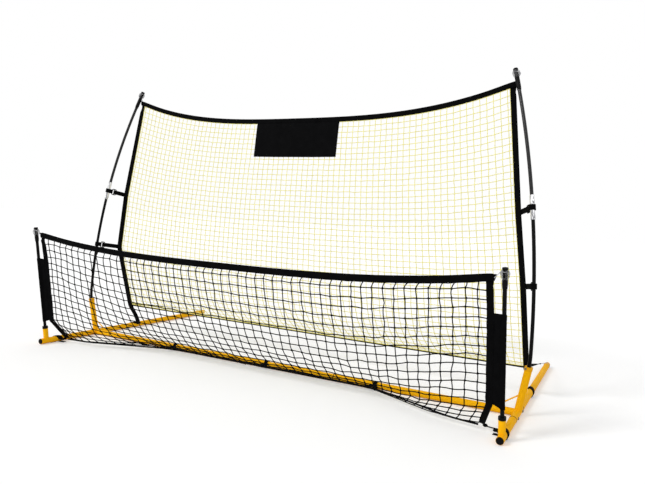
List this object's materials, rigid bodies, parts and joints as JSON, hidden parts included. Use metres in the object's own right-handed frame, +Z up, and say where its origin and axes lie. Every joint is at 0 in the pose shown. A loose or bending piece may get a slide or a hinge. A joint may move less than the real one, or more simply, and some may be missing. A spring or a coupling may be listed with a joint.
{
  "type": "pitch back rebounder",
  "caption": "Lawn ball rebounder: take-apart tube base, bowed poles holding a taut yellow net, and a low black catching net in front.",
  "frame": {"origin": "on the ground, under the middle of the whole object", "axes": "+Z up, front (the low net) towards -Y, +X to the right when seen from the front"},
  "size_m": [2.093, 1.2054, 1.2139],
  "materials": {
    "powder_coated_steel": "gloss powder coat",
    "zinc_steel": "zinc plated",
    "black_plastic": "moulded, matt",
    "amber_plastic": "moulded, satin",
    "black_fibreglass": "smooth pultruded rod",
    "ferrule_metal": "satin tube",
    "clear_plastic": "smoky translucent",
    "pale_elastic": "braided cover",
    "yellow_netting": "thin knotless cord",
    "black_netting": "knotted cord",
    "black_fabric": "plain weave",
    "black_cord": "braided cord",
    "black_webbing": "flat woven tape"
  },
  "bodies": {
    "frame": {"corner_joint_left": "powder_coated_steel", "corner_joint_right": "powder_coated_steel", "upright_socket_left": "powder_coated_steel", "upright_socket_right": "powder_coated_steel", "gusset_rods": "powder_coated_steel", "front_rail_left": "powder_coated_steel", "front_rail_right": "powder_coated_steel", "front_socket_left": "powder_coated_steel", "front_socket_right": "powder_coated_steel", "rear_rail_left": "powder_coated_steel", "rear_rail_right": "powder_coated_steel", "crossbar_left": "powder_coated_steel", "crossbar_middle": "powder_coated_steel", "crossbar_right": "powder_coated_steel", "rail_end_plugs": "black_plastic", "snap_springs": "zinc_steel", "front_socket_bushes": "black_plastic", "upright_bushes": "amber_plastic", "pole_set_screws": "zinc_steel", "rear_pole_lower_left": "black_fibreglass", "rear_pole_lower_right": "black_fibreglass", "rear_pole_upper_left": "black_fibreglass", "rear_pole_upper_right": "black_fibreglass", "pole_ferrules": "ferrule_metal", "front_pole_left": "black_fibreglass", "front_pole_right": "black_fibreglass", "pole_tips": "black_plastic", "tip_collars": "clear_plastic", "elastic_cords": "pale_elastic", "rebound_net": "yellow_netting", "rebound_top_tape": "black_webbing", "rebound_side_tape_left": "black_webbing", "rebound_side_tape_right": "black_webbing", "rebound_bottom_tape": "black_webbing", "target_panel": "black_fabric", "pole_strap_upper_left": "black_webbing", "pole_strap_upper_right": "black_webbing", "pole_strap_lower_left": "black_webbing", "pole_strap_lower_right": "black_webbing", "rail_straps": "black_webbing", "rear_corner_ties": "black_cord", "front_net": "black_netting", "front_top_tape": "black_webbing", "front_side_tapes": "black_webbing", "front_bottom_tape": "black_webbing", "front_sleeve_left": "black_fabric", "front_sleeve_right": "black_fabric", "crossbar_ties": "black_webbing"},
    "button_front_left": {"snap_button_front_left": "zinc_steel"},
    "button_rear_left": {"snap_button_rear_left": "zinc_steel"},
    "button_bar_left": {"snap_button_bar_left": "zinc_steel"},
    "button_splice_left": {"snap_button_splice_left": "zinc_steel"},
    "button_front_right": {"snap_button_front_right": "zinc_steel"},
    "button_rear_right": {"snap_button_rear_right": "zinc_steel"},
    "button_bar_right": {"snap_button_bar_right": "zinc_steel"},
    "button_splice_right": {"snap_button_splice_right": "zinc_steel"},
    "slider_upper_left": {"strap_slider_upper_left": "black_plastic"},
    "slider_upper_right": {"strap_slider_upper_right": "black_plastic"},
    "slider_lower_left": {"strap_slider_lower_left": "black_plastic"},
    "slider_lower_right": {"strap_slider_lower_right": "black_plastic"}
  },
  "joints": [
    {"name": "button_front_left_press", "type": "slide", "parent": "frame", "child": "button_front_left", "axis": [1, 0, 0], "range_m": [0, 0.0055], "stiffness_N_per_m": 1500, "springref_m": -0.005},
    {"name": "button_rear_left_press", "type": "slide", "parent": "frame", "child": "button_rear_left", "axis": [1, 0, 0], "range_m": [0, 0.0055], "stiffness_N_per_m": 1500, "springref_m": -0.005},
    {"name": "button_bar_left_press", "type": "slide", "parent": "frame", "child": "button_bar_left", "axis": [0, -1, 0], "range_m": [0, 0.0055], "stiffness_N_per_m": 1500, "springref_m": -0.005},
    {"name": "button_splice_left_press", "type": "slide", "parent": "frame", "child": "button_splice_left", "axis": [0, -1, 0], "range_m": [0, 0.0055], "stiffness_N_per_m": 1500, "springref_m": -0.005},
    {"name": "button_front_right_press", "type": "slide", "parent": "frame", "child": "button_front_right", "axis": [-1, 0, 0], "range_m": [0, 0.0055], "stiffness_N_per_m": 1500, "springref_m": -0.005},
    {"name": "button_rear_right_press", "type": "slide", "parent": "frame", "child": "button_rear_right", "axis": [-1, 0, 0], "range_m": [0, 0.0055], "stiffness_N_per_m": 1500, "springref_m": -0.005},
    {"name": "button_bar_right_press", "type": "slide", "parent": "frame", "child": "button_bar_right", "axis": [0, -1, 0], "range_m": [0, 0.0055], "stiffness_N_per_m": 1500, "springref_m": -0.005},
    {"name": "button_splice_right_press", "type": "slide", "parent": "frame", "child": "button_splice_right", "axis": [0, -1, 0], "range_m": [0, 0.0055], "stiffness_N_per_m": 1500, "springref_m": -0.005},
    {"name": "slider_upper_left_slide", "type": "slide", "parent": "frame", "child": "slider_upper_left", "axis": [0.5695, 0.7979, -0.1976], "range_m": [-0.005, 0.014]},
    {"name": "slider_upper_right_slide", "type": "slide", "parent": "frame", "child": "slider_upper_right", "axis": [-0.5695, 0.7979, -0.1976], "range_m": [-0.005, 0.014]},
    {"name": "slider_lower_left_slide", "type": "slide", "parent": "frame", "child": "slider_lower_left", "axis": [0.3633, 0.9248, -0.1127], "range_m": [-0.005, 0.014]},
    {"name": "slider_lower_right_slide", "type": "slide", "parent": "frame", "child": "slider_lower_right", "axis": [-0.3633, 0.9248, -0.1127], "range_m": [-0.005, 0.014]}
  ]
}
